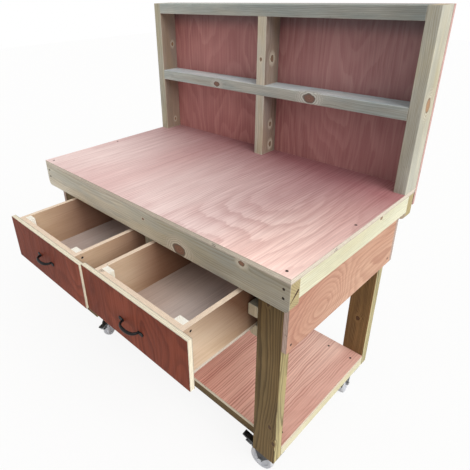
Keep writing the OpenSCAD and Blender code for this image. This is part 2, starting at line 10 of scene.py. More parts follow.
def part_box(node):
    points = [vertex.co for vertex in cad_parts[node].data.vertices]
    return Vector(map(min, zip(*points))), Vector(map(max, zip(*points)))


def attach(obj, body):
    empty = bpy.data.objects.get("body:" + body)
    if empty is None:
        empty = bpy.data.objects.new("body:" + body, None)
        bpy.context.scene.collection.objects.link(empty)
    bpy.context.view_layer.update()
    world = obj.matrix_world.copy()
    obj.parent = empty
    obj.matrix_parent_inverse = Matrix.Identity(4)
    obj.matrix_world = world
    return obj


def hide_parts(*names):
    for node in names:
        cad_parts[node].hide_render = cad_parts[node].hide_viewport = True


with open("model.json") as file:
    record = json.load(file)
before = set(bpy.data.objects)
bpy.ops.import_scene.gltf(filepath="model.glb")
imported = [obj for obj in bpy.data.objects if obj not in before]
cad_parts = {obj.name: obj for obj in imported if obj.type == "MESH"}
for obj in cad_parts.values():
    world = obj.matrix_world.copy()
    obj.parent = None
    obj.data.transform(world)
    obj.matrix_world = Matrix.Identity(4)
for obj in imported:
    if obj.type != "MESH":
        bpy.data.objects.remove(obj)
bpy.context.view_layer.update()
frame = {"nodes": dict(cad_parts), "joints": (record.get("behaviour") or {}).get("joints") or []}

nodes = frame["nodes"]
print("frame loaded:", len(nodes), "nodes")


# Short ways to wire nodes

def fill(tree, socket, value):
    if isinstance(value, bpy.types.NodeSocket):
        tree.links.new(value, socket)
    elif value is not None:
        socket.default_value = value


def addNode(tree, kind, values=None, **settings):
    item = tree.nodes.new(kind)
    for key, value in settings.items():
        setattr(item, key, value)
    for key, value in (values or {}).items():
        fill(tree, item.inputs[key], value)
    return item


def treeOf(*values):  # the tree that the first wired value belongs to
    return next(value.id_data for value in values if isinstance(value, bpy.types.NodeSocket))


def wire(kind, values, output=0, **settings):  # a node in its inputs' tree, by one of its outputs
    return addNode(treeOf(*values.values()), kind, values, **settings).outputs[output]


def work(operation, a, b=None, clamp=False):  # sums on numbers, or on vectors where one is wired in
    if "VECTOR" in (getattr(a, "type", ""), getattr(b, "type", "")):
        isNumber = operation in ("DOT_PRODUCT", "LENGTH", "DISTANCE")
        return wire("ShaderNodeVectorMath", {0: a, 1: b}, "Value" if isNumber else "Vector",
                    operation=operation)
    return wire("ShaderNodeMath", {0: a, 1: b}, operation=operation, use_clamp=clamp)


plus, minus = partial(work, "ADD"), partial(work, "SUBTRACT")
times, over = partial(work, "MULTIPLY"), partial(work, "DIVIDE")
larger, smaller, absolute = (partial(work, name) for name in ("MAXIMUM", "MINIMUM", "ABSOLUTE"))
power, exponent, fraction = (partial(work, name) for name in ("POWER", "EXPONENT", "FRACT"))
dot, lengthOf, distance = (partial(work, name) for name in ("DOT_PRODUCT", "LENGTH", "DISTANCE"))


def joined(x, y, z):
    return wire("ShaderNodeCombineXYZ", {0: x, 1: y, 2: z})


def evenly(value):  # the same number three times, as a vector
    return joined(value, value, value)


def parts(vector):
    return addNode(treeOf(vector), "ShaderNodeSeparateXYZ", {0: vector}).outputs


def noiseAt(vector, stretch, detail=2, roughness=0.5, distortion=0):
    return wire("ShaderNodeTexNoise", {
        "Vector": times(vector, stretch), "Scale": 1, "Detail": detail, "Roughness": roughness,
        "Distortion": distortion})


def noiseAlong(value):
    return wire("ShaderNodeTexNoise", {"W": value, "Scale": 1}, noise_dimensions="1D")


def swing(noise, amount):  # noise about its middle, as a push to either side
    return times(minus(noise, 0.5), amount)


def ease(value, low, high, toLow=0, toHigh=1):
    values = {0: value, 1: low, 2: high, 3: toLow, 4: toHigh}
    return wire("ShaderNodeMapRange", values, interpolation_type="SMOOTHSTEP")


def fall(value, low, high, fromTop=1):
    return ease(value, low, high, fromTop, 0)


def lateWood(saw, rise, full, drop):  # a ring's slow rise to dark wood and its sudden end
    return times(ease(saw, rise, full), fall(saw, drop, 1))


def tint(factor, a, b, how="MIX"):
    return wire("ShaderNodeMix", {0: factor, 6: a, 7: b}, 2, data_type="RGBA", blend_type=how)


def shadeBy(color, amount):
    values = {0: amount, 1: amount, 2: amount}
    grey = addNode(treeOf(color), "ShaderNodeCombineXYZ", values).outputs[0]
    return tint(1, color, grey, "MULTIPLY")


def lerp(factor, a, b):
    return wire("ShaderNodeMix", {0: factor, 2: a, 3: b}, data_type="FLOAT")


def tone(red, green, blue):  # screen values 0..255 to a linear colour
    def linear(v):
        v /= 255
        return v / 12.92 if v <= 0.04045 else ((v + 0.055) / 1.055) ** 2.4
    return (linear(red), linear(green), linear(blue), 1)


def startGroup(name, inputs, outputs):
    tree = bpy.data.node_groups.new(name, "ShaderNodeTree")
    for label, value in inputs.items():
        kind = {3: "Vector", 4: "Color"}[len(value)] if isinstance(value, tuple) else "Float"
        socket = tree.interface.new_socket(label, in_out="INPUT", socket_type="NodeSocket" + kind)
        socket.default_value = value
    for label, kind in outputs.items():
        tree.interface.new_socket(label, in_out="OUTPUT", socket_type="NodeSocket" + kind)
    source = tree.nodes.new("NodeGroupInput")
    return tree, source.outputs, tree.nodes.new("NodeGroupOutput")


def endGroup(tree, target, results):
    for label, value in results.items():
        fill(tree, target.inputs[label], value)
    layOut(tree)
    return tree


def useGroup(tree, group, values):
    return addNode(tree, "ShaderNodeGroup", values, node_tree=group).outputs


def layOut(tree, columnWidth=220, rowHeight=170):  # columns by how deep a node sits
    depth = dict.fromkeys(tree.nodes, 0)
    moved = True
    while moved:
        moved = False
        for link in tree.links:
            if depth[link.to_node] < depth[link.from_node] + 1:
                depth[link.to_node] = depth[link.from_node] + 1
                moved = True
    rows = {}
    for item, column in depth.items():
        item.location = (column * columnWidth, -rowHeight * rows.get(column, 0))
        rows[column] = rows.get(column, 0) + 1


# Node groups that several finishes share

zero, white = (0, 0, 0), (1, 1, 1, 1)
least = 0.00001  # keeps a division away from nothing
finishOutputs = {"Color": "Color", "Height": "Float", "Roughness": "Float"}


def makeBoardFrame():
    # Turns object coordinates into a board's own: along, across and through its grain
    tree, get, out = startGroup("boardFrame", {
        "Object": zero, "Normal": (0, 0, 1), "Middle": zero, "Fold": zero, "Centre": zero,
        "Half": (1, 1, 1), "Along": (1, 0, 0), "Across": (0, 1, 0), "Through": (0, 0, 1)},
        {"Board": "Vector", "Place": "Vector", "Edge": "Float", "End": "Float", "Face": "Float"})
    local = minus(get["Object"], get["Middle"])
    mirrored = minus(absolute(local), local)
    folded = plus(local, times(mirrored, get["Fold"]))
    inBoard = minus(folded, get["Centre"])

    def turned(vector):
        return joined(*[dot(vector, get[label]) for label in ("Along", "Across", "Through")])

    x, y, z = parts(minus(get["Half"], absolute(inBoard)))
    nearest = smaller(x, y)
    edge = larger(nearest, smaller(larger(x, y), z))  # the middle one of the three distances
    end = absolute(dot(get["Normal"], get["Along"]))
    face = absolute(dot(get["Normal"], get["Through"]))
    return endGroup(tree, out, {
        "Board": turned(inBoard), "Place": turned(get["Object"]), "Edge": edge,
        "End": ease(end, 0.6, 0.8), "Face": ease(face, 0.6, 0.8)})


knotShape = {"spread": -0.25, "push": 1.9, "unevenness": 0.8, "shift": (90, 90, 90),
             "bumps": (0.9, 0.9, 0.9)}


def makeKnot():
    # One knot: how far out a point lies, in knot radii, and how far the grain swerves round it
    tree, get, out = startGroup("knot", {
        "Board": zero, "Spot": zero, "Radius": 0, "Length": 1.5},
        {"Reach": "Float", "Swerve": "Float"})
    u, v, w = parts(minus(get["Board"], get["Spot"]))
    squashed = joined(over(u, get["Length"]), v, w)
    unit = over(squashed, evenly(larger(get["Radius"], least)))
    shifted = plus(unit, times(get["Spot"], knotShape["shift"]))
    uneven = noiseAt(shifted, knotShape["bumps"], 3)
    reach = plus(lengthOf(unit), swing(uneven, knotShape["unevenness"]))
    fade = exponent(times(power(reach, 2), knotShape["spread"]))
    swerve = times(times(get["Radius"], knotShape["push"]), fade)
    return endGroup(tree, out, {"Reach": reach, "Swerve": swerve})


def makeCrack():
    # A split from one point to another in a board, widest where it starts
    tree, get, out = startGroup("crack", {
        "Board": zero, "Start": zero, "Finish": (1, 0, 0), "Width": 0}, {"Mask": "Float"})
    run = minus(get["Finish"], get["Start"])
    away = minus(get["Board"], get["Start"])
    part = over(dot(away, run), dot(run, run), clamp=True)
    gap = lengthOf(minus(away, times(run, evenly(part))))
    wobble = swing(noiseAt(get["Board"], (180, 180, 180)), 0.003)
    taper = times(get["Width"], minus(1.15, part))
    ratio = over(plus(gap, wobble), larger(taper, least))
    return endGroup(tree, out, {"Mask": fall(ratio, 0.45, 1)})


timberWaves = {  # waves per metre along, across and through the grain
    "bend": (1.6, 7, 7), "wobble": (14, 60, 60), "fibre": (16, 620, 620), "streak": (2.2, 55, 55),
    "broad": (2, 9, 9), "weather": (3.1, 14, 14), "smudge": (40, 40, 40),
    "pores": (900, 900, 900), "edge": (22, 90, 90)}
crackBrown = tone(60, 32, 18)


def makeTimber(knot):
    tree, get, out = startGroup("planedTimber", {
        "Board": zero, "Place": zero, "Edge": 1, "End": 0, "Face": 1, "Seed": 0,
        "Drift": zero, "Drift Start": 0, "Drift Cap": 4, "Painted Side Light": white,
        "Painted Face Light": white, "Pale": white, "Tan": white, "Late": white, "Weathered": white,
        "Knot": white, "End Wood": white, "Ring Width": 0.005, "Pith": (0, 0.05, -0.07),
        "Grain": 0.45, "Weather": 0.45, "Streaks": 0.4, "Knot A": zero, "Knot A Radius": 0,
        "Knot B": zero, "Knot B Radius": 0, "Knot C": zero, "Knot C Radius": 0, "Crack": 0},
        finishOutputs)
    waves, seed = timberWaves, get["Seed"]
    spot = plus(get["Place"], joined(times(seed, 3.7), times(seed, 1.9), times(seed, 2.3)))
    # rings about the pith, bent by slow noise and pushed round the knots
    knots = [useGroup(tree, knot, {
        "Board": get["Board"], "Spot": get["Knot " + letter],
        "Radius": get["Knot %s Radius" % letter]}) for letter in "ABC"]
    rings = lengthOf(times(minus(get["Board"], get["Pith"]), (0.02, 1, 1)))
    bend = swing(noiseAt(spot, waves["bend"]), 0.05)
    wobble = swing(noiseAt(spot, waves["wobble"]), 0.0035)
    field = plus(plus(rings, bend), wobble)
    for item in knots:
        field = plus(field, item["Swerve"])
    count = over(field, get["Ring Width"])
    uneven = noiseAlong(times(count, 0.31))
    saw = fraction(plus(count, times(uneven, 1.6)))
    late = times(lateWood(saw, 0.25, 0.9, 0.93), ease(uneven, 0.3, 0.7, 0.35, 1))
    fibre = noiseAt(spot, waves["fibre"], 3, 0.6)
    streak = noiseAt(spot, waves["streak"], 3, 0.6)
    broad = noiseAt(spot, waves["broad"], 3, 0.55)
    # colours, from the wood out to what lies on it
    color = tint(ease(broad, 0.3, 0.7), get["Pale"], get["Tan"])
    weather = ease(noiseAt(spot, waves["weather"], 4, 0.6), 0.35, 0.65)
    color = tint(times(weather, get["Weather"]), color, get["Weathered"])
    color = tint(times(late, get["Grain"]), color, get["Late"])
    dark = times(ease(streak, 0.56, 0.74), get["Streaks"])
    color = tint(times(dark, 0.55), color, get["Late"])
    color = shadeBy(color, ease(fibre, 0.25, 0.75, 0.86, 1.1))
    smudge = ease(noiseAt(spot, waves["smudge"], 4, 0.65), 0.62, 0.78)
    color = shadeBy(color, ease(times(smudge, get["Weather"]), 0, 1, 1, 0.72))
    # a slow lightening or darkening across a board, set per board; on the dividers and drawer
    # guides it is painted shade
    drift = plus(dot(get["Board"], get["Drift"]), get["Drift Start"])
    color = shadeBy(color, smaller(plus(drift, 1), get["Drift Cap"]))
    # painted light and shade: a board's broad faces and its sides each multiplied by their own
    # colour, lighter where light falls on them and darker in shade
    paintedLightShade = tint(get["Face"], get["Painted Side Light"], get["Painted Face Light"])
    color = tint(1, color, paintedLightShade, "MULTIPLY")
    # sawn ends: darker, with open pores and clear rings
    pores = noiseAt(spot, waves["pores"], 2, 0.7)
    endColor = tint(times(late, 0.75), get["End Wood"], get["Late"])
    endColor = shadeBy(endColor, ease(pores, 0.3, 0.7, 0.8, 1.08))
    color = tint(get["End"], color, endColor)
    # knots: a ringed core with a dark rim, then arcs of late wood that fade outwards
    nearest = smaller(smaller(knots[0]["Reach"], knots[1]["Reach"]), knots[2]["Reach"])
    core = fall(nearest, 0.8, 1.1)
    rim = times(ease(nearest, 0.72, 0.98), fall(nearest, 1, 1.2))
    arcs = fraction(times(nearest, 2.6))
    arcs = times(ease(arcs, 0.3, 0.9), fall(nearest, 1.1, 3.4, 0.6))
    halo = fall(nearest, 1.2, 3, 0.75)
    color = tint(halo, color, shadeBy(tint(0.1, get["Pale"], get["Knot"]), 1.1))
    color = tint(arcs, color, get["Late"])
    heart = fraction(times(nearest, 3.1))
    knotColor = shadeBy(get["Knot"], ease(heart, 0, 1, 1.25, 0.7))
    color = tint(times(core, 0.88), color, knotColor)
    color = tint(times(rim, 0.7), color, shadeBy(get["Knot"], 0.3))
    # eased edges: paler along the arris, partly bare worn wood and partly a painted highlight, with
    # dirt caught in places
    edgeNoise = noiseAt(spot, waves["edge"], 3, 0.6)
    arrisWearAndHighlight = fall(plus(get["Edge"], times(edgeNoise, 0.006)), 0.002, 0.0065)
    color = tint(times(arrisWearAndHighlight, 0.35), color, get["Pale"])
    chip = times(arrisWearAndHighlight, ease(edgeNoise, 0.55, 0.7))
    color = tint(times(chip, 0.45), color, get["Late"])
    color = tint(get["Crack"], color, crackBrown)
    height = plus(times(late, 0.35), times(fibre, 0.5))
    for groove, depth in ((rim, 0.5), (get["Crack"], 3), (chip, 0.8)):
        height = minus(height, times(groove, depth))
    roughness = minus(ease(fibre, 0.2, 0.8, 0.72, 0.86), times(core, 0.2))
    return endGroup(tree, out, {"Color": color, "Height": height, "Roughness": roughness})


plyWaves = {  # waves per metre along and across the face grain, or along, across and through
    "ripple": (9, 34, 1), "fine": (16, 150, 1), "streak": (3.5, 130, 1), "thin": (7, 420, 1),
    "broad": (1.1, 3.2, 1), "sway": (2.6, 7, 1), "rowBreaks": (3, 26, 1), "pore": (55, 1100, 1),
    "grime": (5, 7, 1), "glueWobble": (9, 9, 9), "runs": (45, 45, 700), "specks": (700, 700, 700),
    "gaps": (24, 24, 24), "tear": (75, 75, 75)}
glueBrown, gapBrown = tone(70, 45, 32), tone(45, 30, 22)


def makePlywood():
    tree, get, out = startGroup("plywood", {
        "Board": zero, "Place": zero, "Edge": 1, "Face": 1, "Seed": 0, "Thickness": 0.018,
        "Plies": 7, "Light": white, "Middle": white, "Deep": white, "Ply Pale": white,
        "Ply Dark": white, "Figure": 0.5, "Bands": 9, "Rows": 60, "Row Depth": 0, "Skin": 0.7,
        "Waves": (0.9, 3, 1), "Pores": 0.4, "Streaks": 0.25, "Dirt": 0.3, "Flame": zero,
        "Flame Reach": 9, "Eye": zero, "Eye Size": (0.3, 0.1, 1), "Eye Height": 0,
        "Drift": zero, "Drift Color": white, "Drift Start": 0,
        "Painted Lighting": zero, "Painted Lighting Color": white, "Painted Lighting Start": 0}, finishOutputs)
    waves, seed, place = plyWaves, get["Seed"], get["Place"]
    u, v = parts(place)[:2]
    flat = joined(plus(u, times(seed, 1.37)), plus(v, times(seed, 2.11)), seed)
    # face veneer: peeled from the log, so its figure is the contour lines of a slow field
    field = noiseAt(flat, get["Waves"], 1.2, 0.4)
    ripple = swing(noiseAt(flat, waves["ripple"]), 0.045)
    fine = swing(noiseAt(flat, waves["fine"]), 0.016)
    field = plus(plus(field, ripple), fine)
    toEye = lengthOf(over(minus(get["Board"], get["Eye"]), get["Eye Size"]))
    eye = exponent(times(power(toEye, 2), -1))
    count = times(plus(field, times(eye, get["Eye Height"])), get["Bands"])
    saw = fraction(count)
    band = noiseAlong(times(count, 0.43))
    line = times(lateWood(saw, 0.2, 0.85, 0.88), ease(band, 0.3, 0.65, 0.3, 1))
    streak = noiseAt(flat, waves["streak"], 4, 0.65)
    thin = noiseAt(flat, waves["thin"], 3, 0.6)
    broad = noiseAt(flat, waves["broad"], 3, 0.5)
    color = tint(ease(broad, 0.32, 0.68), get["Light"], get["Middle"])
    toFlame = distance(get["Board"], get["Flame"])
    flame = ease(over(toFlame, get["Flame Reach"]), 0.2, 1, 1, 0.15)
    color = tint(times(times(line, get["Figure"]), flame), color, get["Deep"])
    # fine even rows of late wood running with the grain
    sway = swing(noiseAt(flat, waves["sway"], 3), 0.05)
    row = times(plus(v, sway), get["Rows"])
    rowSaw = fraction(plus(row, noiseAlong(times(row, 0.9))))
    rowLine = lateWood(rowSaw, 0.3, 0.85, 0.86)
    rowLine = times(rowLine, ease(noiseAt(flat, waves["rowBreaks"]), 0.3, 0.62, 0.15, 1))
    color = tint(times(rowLine, get["Row Depth"]), color, get["Deep"])
    color = tint(times(ease(streak, 0.42, 0.72), get["Streaks"]), color, get["Deep"])
    paleStreak = times(ease(streak, 0.46, 0.26), times(get["Streaks"], 0.5))
    color = tint(paleStreak, color, get["Light"])
    pore = ease(noiseAt(flat, waves["pore"], 2, 0.6), 0.6, 0.72)
    color = tint(times(pore, times(get["Pores"], 0.6)), color, get["Deep"])
    color = shadeBy(color, ease(thin, 0.25, 0.75, 0.93, 1.06))
    # slow changes over a whole board, which on several boards are painted shade and painted light,
    # then grime
    drift = plus(dot(get["Board"], get["Drift"]), get["Drift Start"], clamp=True)
    color = tint(drift, color, tint(0.95, color, get["Drift Color"], "MULTIPLY"))
    # a second slow change, used only as painted light and painted shade
    paintedLighting = ease(plus(dot(get["Board"], get["Painted Lighting"]), get["Painted Lighting Start"]), 0, 1)
    color = tint(paintedLighting, color, tint(1, color, get["Painted Lighting Color"], "MULTIPLY"))
    grime = ease(noiseAt(flat, waves["grime"], 5, 0.65), 0.55, 0.8)
    color = shadeBy(color, ease(times(grime, get["Dirt"]), 0, 1, 1, 0.6))
    # cut edge: plies in turn with and across the grain, with dark glue lines
    depth = parts(get["Board"])[2]
    layer = times(plus(over(depth, get["Thickness"]), 0.5), get["Plies"])
    layer = plus(layer, swing(noiseAt(place, waves["glueWobble"]), 0.25))
    odd = work("PINGPONG", work("FLOOR", layer), 1)
    within = fraction(layer)
    glue = larger(fall(within, 0, 0.1), ease(within, 0.92, 1))
    runs = noiseAt(place, waves["runs"], 3, 0.6)
    specks = noiseAt(place, waves["specks"], 2, 0.7)
    plyShare = times(odd, ease(specks, 0.3, 0.7, 0.45, 0.9))
    edgeColor = tint(plyShare, get["Ply Pale"], get["Ply Dark"])
    edgeColor = shadeBy(edgeColor, ease(runs, 0.25, 0.75, 0.85, 1.08))
    edgeColor = tint(times(glue, 0.35), edgeColor, glueBrown)
    skin = ease(absolute(over(depth, get["Thickness"])), 0.4, 0.44)
    edgeColor = tint(times(skin, get["Skin"]), edgeColor, shadeBy(get["Deep"], 0.6))
    gap = times(odd, ease(noiseAt(place, waves["gaps"]), 0.68, 0.74))
    edgeColor = tint(times(gap, 0.75), edgeColor, gapBrown)
    color = tint(get["Face"], edgeColor, color)
    # arrises: a painted highlight along the edge, mixed with torn and scuffed fibres that also sink
    # the relief
    tear = noiseAt(place, waves["tear"], 4, 0.65)
    arrisWearAndHighlight = fall(plus(get["Edge"], times(tear, 0.004)), 0.001, 0.0035)
    color = tint(times(arrisWearAndHighlight, 0.4), color, get["Ply Pale"])
    height = minus(times(thin, 0.5), times(pore, 0.6))
    edgeHeight = minus(times(specks, 0.6), plus(times(glue, 0.4), times(gap, 3)))
    height = lerp(get["Face"], edgeHeight, height)
    height = minus(height, times(arrisWearAndHighlight, 0.7))
    roughness = lerp(get["Face"], 0.85, ease(streak, 0.2, 0.8, 0.5, 0.66))
    return endGroup(tree, out, {"Color": color, "Height": height, "Roughness": roughness})


def makeScuffs():
    # Blotches, scratches and dust that dull a metal, rubber or painted surface
    tree, get, out = startGroup("scuffs", {
        "Object": zero, "Base": white, "Worn": white, "Dust": white, "Wear": 0.3,
        "Dustiness": 0.2, "Smooth": 0.4}, finishOutputs)
    spot = get["Object"]
    blotch = noiseAt(spot, (60, 60, 60), 4, 0.6)
    grit = noiseAt(spot, (420, 420, 420), 3, 0.65)
    scratch = noiseAt(spot, (30, 700, 240), 3, 0.7, 0.4)
    worn = times(times(ease(scratch, 0.58, 0.7), ease(blotch, 0.4, 0.62)), get["Wear"])
    color = tint(worn, get["Base"], get["Worn"])
    color = shadeBy(color, ease(blotch, 0.25, 0.75, 0.86, 1.12))
    lying = ease(plus(times(blotch, 0.6), times(grit, 0.4)), 0.45, 0.7)
    dust = times(lying, get["Dustiness"])
    color = tint(dust, color, get["Dust"])
    rough = plus(plus(get["Smooth"], swing(blotch, 0.3)), times(dust, 0.4), clamp=True)
    height = minus(times(grit, 0.6), times(worn, 0.8))
    return endGroup(tree, out, {"Color": color, "Height": height, "Roughness": rough})


boardFrame = makeBoardFrame()
knotGroup = makeKnot()
crackGroup = makeCrack()
timberGroup = makeTimber(knotGroup)
plywoodGroup = makePlywood()
scuffGroup = makeScuffs()
print("node groups built")


# Materials

axisOf = {"x": Vector((1, 0, 0)), "y": Vector((0, 1, 0)), "z": Vector((0, 0, 1))}


def newMaterial(name):
    material = bpy.data.materials.new(name)
    material.use_nodes = True
    tree = material.node_tree
    return material, tree, tree.nodes["Principled BSDF"]


def coatShader(tree, shader, finish, shine, strength, relief):
    fill(tree, shader.inputs["Base Color"], finish["Color"])
    fill(tree, shader.inputs["Roughness"], finish["Roughness"])
    shader.inputs["Specular IOR Level"].default_value = shine
    bump = addNode(tree, "ShaderNodeBump", {
        "Strength": strength, "Distance": relief, "Height": finish["Height"]})
    fill(tree, shader.inputs["Normal"], bump.outputs[0])
    layOut(tree)


def spanOf(points):
    return [Vector([pick(p[i] for p in points) for i in range(3)]) for pick in (min, max)]


def boardValues(nodeName, axes, fold):
    # The board's own middle and half size, with mirrored or repeated boards folded onto one
    low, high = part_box(nodeName)
    middle = (low + high) / 2
    foldVector = Vector([1 if c in fold else 0 for c in "xyz"])
    folded = []
    for vertex in nodes[nodeName].data.vertices:
        p = vertex.co - middle
        folded.append(Vector([abs(p[i]) if foldVector[i] else p[i] for i in range(3)]))
    lowest, highest = spanOf(folded)
    along, across, through = (axisOf[axis] for axis in axes)
    return {"Middle": middle, "Fold": foldVector, "Centre": (lowest + highest) / 2,
            "Half": (highest - lowest) / 2, "Along": along, "Across": across, "Through": through}


def boardMaterial(nodeName, axes, fold, group, look, relief):
    material, tree, shader = newMaterial(nodeName + "Wood")
    source = addNode(tree, "ShaderNodeTexCoord").outputs
    place = useGroup(tree, boardFrame, {
        **boardValues(nodeName, axes, fold),
        "Object": source["Object"], "Normal": source["Normal"]})
    inputs = {label: place[label] for label in ("Board", "Place", "Edge", "Face")}
    if group == timberGroup:
        inputs["End"] = place["End"]
    settings = dict(look)
    shine = settings.pop("shine", 0.3)
    for letter, (x, y, z, radius) in zip("ABC", settings.pop("knots", [])):
        inputs["Knot " + letter] = (x, y, z)
        inputs["Knot %s Radius" % letter] = radius
    if "crack" in settings:
        start, finish, width = settings.pop("crack")
        inputs["Crack"] = useGroup(tree, crackGroup, {
            "Board": place["Board"], "Start": start, "Finish": finish, "Width": width})["Mask"]
    wood = useGroup(tree, group, {**inputs, **settings})
    coatShader(tree, shader, wood, shine, 0.6, relief)
    return material


def dress(nodeName, material):
    item = nodes[nodeName]
    item.data.materials.clear()
    item.data.materials.append(material)


timberLooks = {
    "greenGrey": {
        "Pale": tone(217, 208, 191), "Tan": tone(191, 180, 154), "Late": tone(139, 121, 90),
        "Weathered": tone(174, 176, 170), "Knot": tone(124, 78, 56),
        "End Wood": tone(184, 168, 124), "Weather": 0.6, "Streaks": 0.35},
    # A paler, yellower copy of the rail timber for the side rails: partly their own tone, partly
    # painted light on their lit sides
    "paleYellow": {
        "Pale": tone(229, 226, 200), "Tan": tone(211, 203, 167), "Late": tone(168, 153, 111),
        "Weathered": tone(209, 215, 198), "Knot": tone(128, 88, 60),
        "End Wood": tone(199, 174, 127), "Grain": 0.4, "Weather": 0.3, "Streaks": 0.3},
    "olive": {
        "Pale": tone(130, 107, 70), "Tan": tone(110, 87, 52), "Late": tone(52, 36, 18),
        "Weathered": tone(88, 77, 54), "Knot": tone(74, 44, 24),
        "End Wood": tone(109, 82, 50), "Grain": 0.95, "Weather": 0.35, "Streaks": 0.9},
    "greyShelf": {
        "Pale": tone(200, 201, 192), "Tan": tone(170, 170, 159), "Late": tone(120, 115, 104),
        "Weathered": tone(160, 170, 167), "Knot": tone(112, 70, 54),
        "End Wood": tone(181, 162, 126), "Grain": 0.4, "Weather": 0.85, "Streaks": 0.6},
    "straw": {
        "Pale": tone(204, 200, 182), "Tan": tone(177, 168, 140), "Late": tone(131, 116, 85),
        "Weathered": tone(154, 160, 159), "Knot": tone(138, 98, 62),
        "End Wood": tone(196, 182, 156)},
    "paleStraw": {
        "Pale": tone(216, 210, 192), "Tan": tone(188, 176, 148), "Late": tone(140, 122, 92),
        "Weathered": tone(176, 183, 185), "Knot": tone(118, 86, 62),
        "End Wood": tone(205, 179, 139)},
    "creamBlock": {
        "Pale": tone(252, 249, 238), "Tan": tone(246, 240, 222), "Late": tone(222, 212, 184),
        "Weathered": tone(246, 246, 236), "Knot": tone(170, 130, 90),
        "End Wood": tone(252, 248, 238), "Grain": 0.35, "Weather": 0.1, "Streaks": 0.15},
}

plyLooks = {
    "pinkTop": {
        "Light": tone(247, 226, 220), "Middle": tone(231, 197, 192), "Deep": tone(178, 128, 124),
        "Ply Pale": tone(224, 214, 198), "Ply Dark": tone(198, 186, 166), "Figure": 0.3,
        "Bands": 17, "Waves": (0.8, 3.4, 1), "Rows": 85, "Row Depth": 0.45,
        "Dirt": 0.15, "shine": 0.35},
    "redPanel": {
        "Light": tone(216, 180, 153), "Middle": tone(194, 147, 121), "Deep": tone(159, 105, 83),
        "Ply Pale": tone(196, 176, 164), "Ply Dark": tone(154, 122, 110), "Figure": 0.7,
        "Bands": 15, "Waves": (1.5, 4.2, 1), "Pores": 0.5, "Streaks": 0.3, "Dirt": 0.12,
        "shine": 0.35},
    "backRed": {
        "Light": tone(180, 118, 114), "Middle": tone(157, 97, 94), "Deep": tone(206, 150, 142),
        "Ply Pale": tone(222, 186, 178), "Ply Dark": tone(176, 122, 112), "Figure": 0.42,
        "Bands": 12, "Waves": (1.6, 5, 1), "Rows": 55, "Row Depth": 0.25, "Pores": 0.25,
        "Dirt": 0.35, "shine": 0.4},
    "drawerRed": {
        "Light": tone(142, 70, 48), "Middle": tone(115, 52, 35), "Deep": tone(84, 34, 22),
        "Ply Pale": tone(244, 236, 214), "Ply Dark": tone(214, 200, 172), "Figure": 0.6,
        "Bands": 13, "Waves": (2.6, 6, 1), "Dirt": 0.45, "Skin": 0.8, "shine": 0.12},
    "birch": {
        "Light": tone(210, 186, 160), "Middle": tone(199, 169, 139), "Deep": tone(171, 136, 102),
        "Ply Pale": tone(240, 219, 196), "Ply Dark": tone(222, 197, 172), "Skin": 0.1,
        "Figure": 0.16, "Pores": 0.15, "Dirt": 0.2, "Plies": 9},
    "pinkBirch": {
        "Light": tone(208, 196, 190), "Middle": tone(195, 176, 166), "Deep": tone(166, 142, 130),
        "Ply Pale": tone(217, 208, 194), "Ply Dark": tone(179, 152, 130), "Figure": 0.18,
        "Pores": 0.2, "Plies": 5},
}
